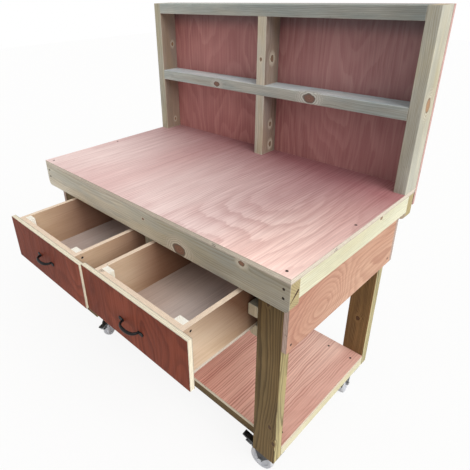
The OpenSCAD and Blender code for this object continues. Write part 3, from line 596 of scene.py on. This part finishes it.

# Each timber: grain axes (along, across, through), folded axes, look and its own marks, with
# painted light and shade on some boards.
# Knots (place and radius) and a crack (its ends and width) are in metres from the board's middle.
# painted shade on the dividers: their sides darker, and darker towards the back
dividerShade = {"Drift": (0, -5, 0), "Drift Cap": 1.05, "Painted Face Light": (0.57, 0.48, 0.48, 1)}
blockMarks = {"Pith": (0, 0.05, 0.04)}
timbers = {
    "front_rail": ("xzy", "", "greenGrey", {
        "Pith": (0, 0.09, 0.06), "Ring Width": 0.0065, "Drift": (-0.9, 0, 0),
        "Drift Start": 0.19, "Drift Cap": 1.2,
        "knots": [(0.231, -0.029, -0.0225, 0.019), (0.509, 0.041, -0.0225, 0.0075),
                  (0.04, 0.0205, -0.0225, 0.004)],
        "crack": ((0.6825, 0.014, 0.0145), (0.6825, -0.016, -0.0215), 0.0055)}),
    "back_rail": ("xzy", "", "greenGrey", {"Pith": (0, -0.08, 0.05)}),
    "left_side_rail": ("yzx", "", "paleYellow", {"Pith": (0, 0.1, 0.05)}),
    "right_side_rail": ("yzx", "", "paleYellow", {
        "Pith": (0, 0.12, -0.09), "knots": [(0.13, 0.03, 0.0225, 0.006)]}),
    # On both leg pairs the sides are brightened as painted light, bluer and several times over the
    # dark olive fronts.
    "front_legs": ("zxy", "x", "olive", {
        "Pith": (0, -0.06, 0.04), "Ring Width": 0.009, "Painted Side Light": (2.5, 3.2, 3.9, 1),
        "knots": [(-0.249, 0.023, -0.0225, 0.006), (-0.322, 0.0416, -0.0225, 0.006),
                  (0.28, -0.01, -0.0225, 0.005)]}),
    "back_legs": ("zxy", "x", "olive", {
        "Pith": (0, -0.08, -0.05), "Painted Side Light": (1.9, 2.9, 4.1, 1),
        "Pale": tone(150, 116, 74), "Tan": tone(127, 94, 55), "Weathered": tone(102, 83, 57),
        "knots": [(-0.18, 0, -0.0225, 0.008)]}),
    "lower_cross_rails": ("xyz", "y", "olive", {"Pith": (0, 0.07, 0.06)}),
    "lower_side_rails": ("yxz", "x", "paleYellow", {"Pith": (0, -0.09, 0.05)}),
    # painted shade: the left post's sides darker and redder
    "left_post": ("zyx", "", "straw", {
        "Pith": (0, 0.08, 0.06), "Painted Face Light": (0.7, 0.58, 0.57, 1),
        "knots": [(-0.27, 0.012, 0.0225, 0.005), (0.12, 0.02, 0.0225, 0.006)]}),
    # painted shade: the right post's front and back a little darker than its sides
    "right_post": ("zyx", "", "straw", {
        "Pith": (0, -0.08, -0.06), "knots": [(0.0035, -0.0045, 0.0225, 0.016)],
        "Knot": tone(166, 122, 82), "Painted Side Light": (0.85, 0.86, 0.88, 1), "Drift Start": 0.12}),
    "upper_divider": ("zyx", "", "paleStraw", {
        "Pith": (0, -0.06, -0.07), **dividerShade,
        "knots": [(-0.03, 0, 0.0225, 0.009), (-0.03, -0.0475, 0, 0.005)]}),
    "lower_divider": ("zyx", "", "paleStraw", {
        "Pith": (0, 0.06, -0.08), **dividerShade,
        "knots": [(0, 0.005, 0.0225, 0.007), (-0.095, 0.01, 0.0225, 0.008)]}),
    "upstand_top_rail": ("xyz", "", "greyShelf", {
        "Pith": (0, -0.09, -0.05), "Drift": (-0.36, 0, 0), "Drift Start": -0.15}),
    # painted light: the narrow shelf's top and underside brighter and bluer than its front and back
    "upstand_shelf": ("xyz", "", "greyShelf", {
        "Pith": (0, 0.03, -0.09), "Drift": (-0.25, 0, 0), "Drift Start": -0.03,
        "Painted Face Light": (1.4, 1.45, 1.62, 1),
        "knots": [(0.2465, -0.0475, 0, 0.017), (-0.2585, -0.0475, -0.004, 0.011)]}),
    # painted shade: the drawer guides darker towards their tops and lighter towards their bottoms
    "drawer_guides": ("yxz", "", "straw", {"Drift": (0, 0, -22)}),
    "drawer_bearers": ("yxz", "", "straw", {}),
    "centre_hangers": ("zxy", "y", "straw", {}),
    "drawer_kickers": ("yzx", "x", "straw", {}),
    "left_drawer_blocks": ("zxy", "x", "creamBlock", blockMarks),
    "right_drawer_blocks": ("zxy", "x", "creamBlock", blockMarks),
}

sheets = {
    # The worktop: painted shade darkening it towards the back under the upstand, and painted light
    # brightening its right end.
    "worktop": ("yxz", "", "pinkTop", {
        "Seed": 1.3, "Flame": (-0.2, 0.45, 0), "Flame Reach": 0.5, "Figure": 0.42,
        "Eye": (-0.1, 0.47, 0), "Eye Size": (0.2, 0.07, 1), "Eye Height": 0.14,
        "Drift": (1.43, 0.3, 0), "Drift Start": 0.46, "Drift Color": tone(157, 112, 121),
        "Row Depth": 0.36, "Painted Lighting": (-0.6, 3, 0), "Painted Lighting Start": -1,
        "Painted Lighting Color": (1.45, 1.55, 1.45, 1)}),
    # painted shade: the lower shelf darker towards the front and left
    "lower_shelf": ("yxz", "", "pinkTop", {
        "Seed": 2.6, "Streaks": 0.22, "Figure": 0.12, "Rows": 88, "Row Depth": 0.7,
        "Light": tone(253, 218, 201), "Middle": tone(234, 186, 170), "Deep": tone(182, 116, 104),
        "Ply Pale": tone(226, 214, 190), "Drift": (-0.9, -1.6, 0), "Drift Start": 1.107,
        "Drift Color": tone(226, 194, 187)}),
    "left_side_panel": ("yzx", "", "redPanel", {"Seed": 3.9}),
    "right_side_panel": ("yzx", "", "redPanel", {
        "Seed": 4.4, "Figure": 0.55, "Eye": (-0.15, -0.035, 0), "Eye Size": (0.13, 0.1, 1),
        "Eye Height": 0.45, "Drift": (-1.9, 0, 0), "Drift Start": 0.4,
        "Drift Color": tone(232, 214, 213)}),
    "back_apron": ("xzy", "", "redPanel", {"Seed": 5.5}),
    # The back panel: painted shade darkening and cooling it towards the upper right, and a painted
    # shadow along its top under the rail.
    "back_panel": ("zxy", "", "backRed", {
        "Seed": 6.1, "Drift": (0.75, 0.8, 0), "Drift Start": 0.3,
        "Drift Color": tone(194, 216, 225), "Painted Lighting": (15, 0, 0), "Painted Lighting Start": -3.4,
        "Painted Lighting Color": tone(178, 192, 196)}),
    "left_drawer_front": ("zxy", "", "drawerRed", {"Seed": 7.2}),
    "right_drawer_front": ("zxy", "", "drawerRed", {"Seed": 8.8}),
}
for side, seed in (("left", 11), ("right", 13)):
    box = side + "_drawer_"
    sheets[box + "inner_front"] = ("xzy", "", "birch", {"Seed": seed})
    sheets[box + "back"] = ("xzy", "", "birch", {"Seed": seed + 1.1})
    sheets[box + "sides"] = ("yzx", "x", "birch", {"Seed": seed + 2.2})
    sheets[box + "bottom"] = ("yxz", "", "pinkBirch", {"Seed": seed + 3.3, "Thickness": 0.012})
# Painted shade: the boxes browner and darker towards the back, where the worktop shades them, and
# the right one's outer face darker still; painted shade also darkens the right one's inner faces
# towards the back
sheets["left_drawer_sides"][3].update({
    "Drift": (4.4, 0, 0), "Drift Start": 1.29, "Drift Color": tone(186, 166, 168)})
sheets["right_drawer_sides"][3].update({
    "Drift": (4.4, 4, 120), "Drift Start": 0.28, "Drift Color": tone(112, 80, 62),
    "Painted Lighting": (4.4, 0, -120), "Painted Lighting Start": 0.21, "Painted Lighting Color": tone(182, 158, 150)})
sheets["right_drawer_bottom"][3].update({
    "Light": tone(238, 224, 217), "Middle": tone(223, 201, 190),
    "Drift": (0, -4.2, 0), "Drift Start": 0.25, "Drift Color": tone(213, 205, 197)})

timberRelief, plyRelief = 0.0006, 0.0004
for boards, looks, group, relief in ((timbers, timberLooks, timberGroup, timberRelief),
                                     (sheets, plyLooks, plywoodGroup, plyRelief)):
    for seed, (name, (axes, fold, look, marks)) in enumerate(boards.items(), 1):
        settings = {**looks[look], "Seed": seed, **marks}
        dress(name, boardMaterial(name, axes, fold, group, settings, relief))
print("boards dressed:", len(timbers) + len(sheets))

hardwareLooks = {
    "blackIron": {
        "Base": tone(18, 16, 17), "Worn": tone(90, 84, 78), "Dust": tone(90, 80, 72),
        "Wear": 0.15, "Dustiness": 0.03, "Smooth": 0.5, "shine": 0.2},
    "zincPlate": {
        "Base": tone(196, 198, 200), "Worn": tone(120, 120, 118), "Dust": tone(150, 144, 132),
        "Wear": 0.5, "Dustiness": 0.15, "Smooth": 0.3, "metal": 1},
    "paintedFork": {
        "Base": tone(36, 38, 42), "Worn": tone(140, 140, 140), "Dust": tone(130, 124, 114),
        "Wear": 0.3, "Dustiness": 0.2, "Smooth": 0.42, "metal": 0.2},
    "greyRubber": {
        "Base": tone(196, 198, 204), "Worn": tone(150, 150, 154), "Dust": tone(160, 150, 138),
        "Wear": 0.5, "Dustiness": 0.3, "Smooth": 0.6},
    "blackPedal": {
        "Base": tone(24, 25, 28), "Worn": tone(90, 90, 92), "Dust": tone(120, 114, 106),
        "Wear": 0.35, "Dustiness": 0.12, "Smooth": 0.4},
    "darkScrew": {
        "Base": tone(52, 44, 40), "Worn": tone(140, 130, 118), "Dust": tone(86, 58, 40),
        "Wear": 0.4, "Dustiness": 0.4, "Smooth": 0.5, "metal": 0.6},
    "zincScrew": {
        "Base": tone(160, 160, 158), "Worn": tone(90, 88, 84), "Dust": tone(120, 112, 100),
        "Wear": 0.4, "Dustiness": 0.2, "Smooth": 0.35, "metal": 0.9},
}
hardwareRelief = 0.0004


def hardwareMaterial(name):
    look = dict(hardwareLooks[name])
    metal, shine = look.pop("metal", 0), look.pop("shine", 0.5)
    material, tree, shader = newMaterial(name)
    source = addNode(tree, "ShaderNodeTexCoord").outputs
    coat = useGroup(tree, scuffGroup, {"Object": source["Object"], **look})
    shader.inputs["Metallic"].default_value = metal
    coatShader(tree, shader, coat, shine, 0.4, hardwareRelief)
    return material


hardware = {name: hardwareMaterial(name) for name in hardwareLooks}
corners = ("front_left", "front_right", "back_left", "back_right")
dress("castor_plates", hardware["zincPlate"])
for corner in corners:
    for part, look in (("_fork", "paintedFork"), ("_wheel", "greyRubber"),
                       ("_pins", "zincPlate"), ("_pedal", "blackPedal")):
        dress(corner + part, hardware[look])
print("hardware dressed")


# Short ways to make meshes

def newObject(name, data):
    item = bpy.data.objects.new(name, data)
    bpy.context.scene.collection.objects.link(item)
    return item


def bridge(bm, first, second):  # a band of faces between two closed loops of vertices
    for i in range(len(first)):
        j = (i + 1) % len(first)
        bm.faces.new((first[i], first[j], second[j], second[i]))


def skin(bm, loops):  # bands between loops, closed at both ends
    for first, second in zip(loops, loops[1:]):
        bridge(bm, first, second)
    bm.faces.new(loops[0])
    bm.faces.new(loops[-1])


def meshFrom(bm, name):
    mesh = bpy.data.meshes.new(name)
    bm.to_mesh(mesh)
    bm.free()
    return mesh


# Screws: one true screw set by nodes on a point for each plain one

# Sizes in head radii. Each ring is a height and a radius, from the slot's rim outwards.
screwLook = {
    "slotLength": 0.62, "slotWidth": 0.15, "slotDepth": 0.36, "slotTaper": (0.72, 0.8),
    "shank": 0.5, "length": 7, "tip": 0.6, "seed": 7,
    "countersunk": ((0, 0.9), (-0.04, 1), (-0.2, 0.93), (-0.5, 0.5)),
    "pan": ((0, 0.75), (-0.12, 0.93), (-0.5, 1), (-0.52, 0.5))}


def screwMesh(name, head):
    # Head radius 1, its rim at z = 0, the shank running down, a cross slot sunk in the head
    look = screwLook
    bm = bmesh.new()
    l, w = look["slotLength"], look["slotWidth"]
    outline = []
    for quarter in range(4):
        turn = Matrix.Rotation(quarter * math.pi / 2, 2)
        outline += [turn @ Vector(p) for p in ((l, -w), (l, w), (w, w))]
    angles = [math.atan2(p.y, p.x) for p in outline]

    def ring(height, radius):
        return [bm.verts.new((radius * math.cos(a), radius * math.sin(a), height)) for a in angles]

    alongTaper, acrossTaper = look["slotTaper"]
    slotTop = [bm.verts.new((p.x, p.y, 0)) for p in outline]
    slotFloor = [bm.verts.new((p.x * alongTaper, p.y * acrossTaper, -look["slotDepth"]))
                 for p in outline]
    rings = [ring(height, radius) for height, radius in look[head]]
    rings.append(ring(-look["length"], look["shank"]))
    tip = bm.verts.new((0, 0, -look["length"] - look["tip"]))
    loops = [slotFloor, slotTop] + rings
    for low, high in zip(loops, loops[1:]):
        bridge(bm, low, high)
    bm.faces.new(slotFloor)
    last = rings[-1]
    for i in range(len(last)):
        bm.faces.new((last[i], last[(i + 1) % len(last)], tip))
    bmesh.ops.recalc_face_normals(bm, faces=bm.faces)
    return meshFrom(bm, name)


def islands(bm):  # the groups of vertices that edges join
    left = set(bm.verts)
    while left:
        island, front = set(), [left.pop()]
        while front:
            vert = front.pop()
            island.add(vert)
            for edge in vert.link_edges:
                other = edge.other_vert(vert)
                if other in left:
                    left.remove(other)
                    front.append(other)
        yield [vert.co for vert in island]


def screwPlaces(nodeName, headShare=0.9, weld=1e-6):
    # Head centre, outward direction and head radius of every screw in a node
    bm = bmesh.new()
    bm.from_mesh(nodes[nodeName].data)
    bmesh.ops.remove_doubles(bm, verts=bm.verts, dist=weld)
    places = []
    for points in islands(bm):
        low, high = spanOf(points)
        axis = max(range(3), key=lambda i: high[i] - low[i])
        middle = (low + high) / 2
        others = [i for i in range(3) if i != axis]
        radius = max(high[i] - low[i] for i in others) / 2
        wide = [p[axis] for p in points
                if max(abs(p[i] - middle[i]) for i in others) > radius * headShare]
        outwards = sum(wide) / len(wide) > middle[axis]
        aim, place = Vector((0, 0, 0)), middle.copy()
        aim[axis] = 1 if outwards else -1
        place[axis] = high[axis] if outwards else low[axis]
        places.append((place, aim, radius))
    bm.free()
    return sorted(places, key=lambda item: tuple(item[0]))


def screwNodes():
    tree = bpy.data.node_groups.new("setScrews", "GeometryNodeTree")
    for label, kind in (("Geometry", "Geometry"), ("Screw", "Object"), ("Material", "Material"),
                        ("Seed", "Int")):
        tree.interface.new_socket(label, in_out="INPUT", socket_type="NodeSocket" + kind)
    tree.interface.new_socket("Geometry", in_out="OUTPUT", socket_type="NodeSocketGeometry")
    get = tree.nodes.new("NodeGroupInput").outputs
    out = tree.nodes.new("NodeGroupOutput")
    model = wire("GeometryNodeObjectInfo", {"Object": get["Screw"]}, "Geometry")
    aim, size = (
        addNode(tree, "GeometryNodeInputNamedAttribute", {"Name": name}, data_type=kind).outputs[0]
        for name, kind in (("aim", "FLOAT_VECTOR"), ("size", "FLOAT")))
    along = wire("FunctionNodeAlignRotationToVector", {"Vector": aim}, axis="Z")
    chance = wire("FunctionNodeRandomValue", {"Seed": get["Seed"]}, 1, data_type="FLOAT")
    spin = wire("FunctionNodeAxisAngleToRotation", {
        "Axis": (0, 0, 1), "Angle": times(chance, math.tau)})
    turned = wire("FunctionNodeRotateRotation", {"Rotation": along, "Rotate By": spin},
                  rotation_space="LOCAL")
    placed = wire("GeometryNodeInstanceOnPoints", {
        "Points": get["Geometry"], "Instance": model, "Rotation": turned, "Scale": evenly(size)})
    solid = wire("GeometryNodeRealizeInstances", {"Geometry": placed})
    done = wire("GeometryNodeSetMaterial", {"Geometry": solid, "Material": get["Material"]})
    fill(tree, out.inputs[0], done)
    layOut(tree)
    return tree


screwTree = screwNodes()


def setScrews(nodeName, body, head, material):
    places = screwPlaces(nodeName)
    mesh = bpy.data.meshes.new(nodeName + "Points")
    mesh.from_pydata([place for place, aim, radius in places], [], [])
    mesh.attributes.new("aim", "FLOAT_VECTOR", "POINT")
    mesh.attributes.new("size", "FLOAT", "POINT")
    for i, (place, aim, radius) in enumerate(places):
        mesh.attributes["aim"].data[i].vector = aim
        mesh.attributes["size"].data[i].value = radius
    points = newObject(nodeName + "Points", mesh)
    model = newObject(nodeName + "Model", screwMesh(nodeName + "Model", head))
    values = {"Screw": model, "Material": material, "Seed": screwLook["seed"]}
    modifier = points.modifiers.new("setScrews", "NODES")
    modifier.node_group = screwTree
    for socket in screwTree.interface.items_tree:
        if socket.in_out == "INPUT" and socket.name in values:
            modifier[socket.identifier] = values[socket.name]
    seen = points.evaluated_get(bpy.context.evaluated_depsgraph_get())
    result = bpy.data.meshes.new_from_object(seen)
    points.modifiers.clear()
    bpy.data.objects.remove(points)
    bpy.data.objects.remove(model)
    result.name = nodeName + "Turned"
    screws = newObject(nodeName + "Turned", result)
    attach(screws, body)
    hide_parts(nodeName)
    return len(places)


count = setScrews("frame_screws", "bench", "countersunk", hardware["darkScrew"])
count += setScrews("castor_screws", "bench", "pan", hardware["zincScrew"])
for side in ("left", "right"):
    box = side + "_drawer"
    count += setScrews(box + "_screws", box, "countersunk", hardware["darkScrew"])
print("screws set:", count)


# Bow handles

handleLook = {
    "stations": 36, "sides": 14, "barHigh": 0.0068, "barThick": 0.005, "waist": 0.72,
    "square": 0.86, "lift": 0.8, "sunk": 0.004, "clearance": 0.0006,
    "footLength": 0.028, "footThick": 0.003, "footHigh": 0.0078, "footNeck": 0.0052,
    "tipSteps": 14, "neckSteps": 8, "bevel": 0.001, "brow": 0.0003}


def makeBow(bm, middle, back, halfLong, reach):
    # An oval section swept along an arc whose ends sink into the feet
    look = handleLook
    halfBow = halfLong - look["footLength"] + look["sunk"]
    loops = []
    for station in range(look["stations"] + 1):
        t = station / look["stations"] * math.pi
        share = -math.cos(t)
        x = halfBow * math.copysign(abs(share) ** look["square"], share)
        out = (reach - look["barThick"]) * math.sin(t) ** look["lift"]
        ahead = Vector((math.sin(t) * halfBow, -math.cos(t) * reach, 0)).normalized()
        normal = Vector((ahead.y, -ahead.x, 0))
        swell = look["waist"] + (1 - look["waist"]) * math.sin(t) ** 2
        loop = []
        for i in range(look["sides"]):
            a = i / look["sides"] * math.tau
            rise = Vector((0, 0, math.sin(a) * look["barHigh"] * swell))
            point = normal * math.cos(a) * look["barThick"] * swell + rise
            spot = Vector((middle.x + x, back - out, middle.z)) + point
            spot.y = min(spot.y, back - look["clearance"])
            loop.append(bm.verts.new(spot))
        loops.append(loop)
    skin(bm, loops)


def makeFoot(bm, middle, back, halfLong, sign):
    # A leaf shape with a bevelled rim
    look = handleLook
    long, thick, bevel = look["footLength"], look["footThick"], look["bevel"]
    outline = []
    for radius, steps, start, centre in (
            (look["footHigh"], look["tipSteps"], -math.pi / 2, halfLong - look["footHigh"]),
            (look["footNeck"], look["neckSteps"], math.pi / 2, halfLong - long + look["footNeck"])):
        for i in range(steps + 1):
            a = start + i / steps * math.pi
            outline.append((centre + radius * math.cos(a), radius * math.sin(a)))
    middleX = halfLong - long / 2
    rows = []
    for height, inset in ((0, 0), (thick - bevel, 0), (thick - look["brow"], bevel * 0.6),
                          (thick, bevel * 1.4)):
        row = []
        for x, z in outline:
            x = middleX + (x - middleX) * (1 - inset / long * 2)
            z *= 1 - inset / look["footHigh"]
            row.append(bm.verts.new((middle.x + sign * x, back - height, middle.z + z)))
        rows.append(row)
    skin(bm, rows)


def makeHandle(side):
    low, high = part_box(side + "_drawer_handle")
    middle, back = (low + high) / 2, high.y
    halfLong, reach = (high.x - low.x) / 2, high.y - low.y
    bm = bmesh.new()
    makeBow(bm, middle, back, halfLong, reach)
    for sign in (-1, 1):
        makeFoot(bm, middle, back, halfLong, sign)
    bmesh.ops.recalc_face_normals(bm, faces=bm.faces)
    mesh = meshFrom(bm, side + "BowHandle")
    mesh.materials.append(hardware["blackIron"])
    for face in mesh.polygons:
        face.use_smooth = len(face.vertices) == 4
    handle = newObject(side + "BowHandle", mesh)
    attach(handle, side + "_drawer")
    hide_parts(side + "_drawer_handle")


for side in ("left", "right"):
    makeHandle(side)
print("handles made")


# Plated strips that show between the two toes of each brake pedal

stripLook = {
    "outline": ((0.02, -0.001), (0.054, 0.01), (0.054, 0.0055), (0.024, -0.0025)),
    "width": 0.02, "bevel": 0.0006, "bevelSteps": 2}


def makeStrip(corner):
    # Its outline is drawn outwards and upwards from the pedal's pin
    look = stripLook
    joint = next(j for j in frame["joints"] if j["name"] == corner + "_brake")
    pin, axle = Vector(joint["pos_m"]), Vector(joint["axis"]).normalized()
    outwards, upwards = Vector((0, 0, 1)).cross(axle), Vector((0, 0, 1))
    bm = bmesh.new()
    ends = [[bm.verts.new(pin + outwards * r + upwards * h + axle * side * look["width"])
             for r, h in look["outline"]] for side in (-0.5, 0.5)]
    bm.faces.new(ends[0])
    bm.faces.new(ends[1])
    bridge(bm, ends[0], ends[1])
    bmesh.ops.recalc_face_normals(bm, faces=bm.faces)
    bmesh.ops.bevel(bm, geom=bm.edges[:], offset=look["bevel"], segments=look["bevelSteps"],
                    affect="EDGES")
    mesh = meshFrom(bm, corner + "BrakeStrip")
    mesh.materials.append(hardware["zincPlate"])
    strip = newObject(corner + "BrakeStrip", mesh)
    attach(strip, corner + "_pedal_body")


for corner in corners:
    makeStrip(corner)
print("brake strips made")


# Stage, light and camera

stageLook = {"size": 30, "floor": tone(236, 235, 232), "roughness": 0.9, "whiteShare": 0.88,
             "surround": 0.42}


def seenPlainly(tree):  # 1 where the camera looks straight, by a reflection or through glass
    path = addNode(tree, "ShaderNodeLightPath").outputs
    return larger(path["Is Camera Ray"],
                  larger(path["Is Glossy Ray"], path["Is Transmission Ray"]))


def makeStage():
    mesh = bpy.data.meshes.new("studioFloor")
    half = stageLook["size"] / 2
    rim = [(-half, -half, 0), (half, -half, 0), (half, half, 0), (-half, half, 0)]
    mesh.from_pydata(rim, [], [(0, 1, 2, 3)])
    floor = newObject("studioFloor", mesh)
    material, tree, shader = newMaterial("studioFloorPaint")
    shader.inputs["Base Color"].default_value = stageLook["floor"]
    shader.inputs["Roughness"].default_value = stageLook["roughness"]
    glow = addNode(tree, "ShaderNodeEmission", {"Color": white, "Strength": 1})
    share = times(seenPlainly(tree), stageLook["whiteShare"])
    both = addNode(tree, "ShaderNodeMixShader", {
        0: share, 1: shader.outputs[0], 2: glow.outputs[0]})
    fill(tree, tree.nodes["Material Output"].inputs["Surface"], both.outputs[0])
    mesh.materials.append(material)

    world = bpy.data.worlds.new("studioSurround")
    world.use_nodes = True
    tree = world.node_tree
    strength = lerp(seenPlainly(tree), stageLook["surround"], 1)
    sky = tree.nodes["Background"].inputs
    fill(tree, sky["Color"], white)
    fill(tree, sky["Strength"], strength)
    bpy.context.scene.world = world


lamps = {
    "keyFromRight": {"toward": (0.8, -0.12, 0.62), "strength": 2.4, "spread": 0.9},
    "softTop": {"toward": (0.1, -0.35, 1), "strength": 0.5, "spread": 1.4},
}


def makeLamps():
    for name, look in lamps.items():
        data = bpy.data.lights.new(name, "SUN")
        data.energy, data.angle = look["strength"], look["spread"]
        lamp = newObject(name, data)
        lamp.rotation_euler = Vector(look["toward"]).to_track_quat("Z", "Y").to_euler()


cameraLook = {"position": (1.2038, -1.0809, 1.6913), "heading": 0.799, "down": 0.476,
              "roll": -0.029, "sensor": 36, "lens": 33.608, "shift": (0.0634, -0.0464),
              "farthest": 60}


def makeCamera():
    look = cameraLook
    data = bpy.data.cameras.new("benchCamera")
    data.sensor_width, data.lens = look["sensor"], look["lens"]
    data.shift_x, data.shift_y = look["shift"]
    data.clip_end = look["farthest"]
    heading, down, roll = look["heading"], look["down"], look["roll"]
    level = math.cos(down)
    ahead = Vector((-math.sin(heading) * level, math.cos(heading) * level, -math.sin(down)))
    right = Vector((math.cos(heading), math.sin(heading), 0))
    up = right.cross(ahead)
    rolledRight = math.cos(roll) * right + math.sin(roll) * up
    rolledUp = math.cos(roll) * up - math.sin(roll) * right
    turn = Matrix((rolledRight, rolledUp, -ahead)).transposed()
    camera = newObject("benchCamera", data)
    camera.matrix_world = Matrix.Translation(look["position"]) @ turn.to_4x4()
    bpy.context.scene.camera = camera


makeStage()
makeLamps()
makeCamera()
bpy.context.scene.view_settings.view_transform = "Standard"
print("stage, lamps and camera set")
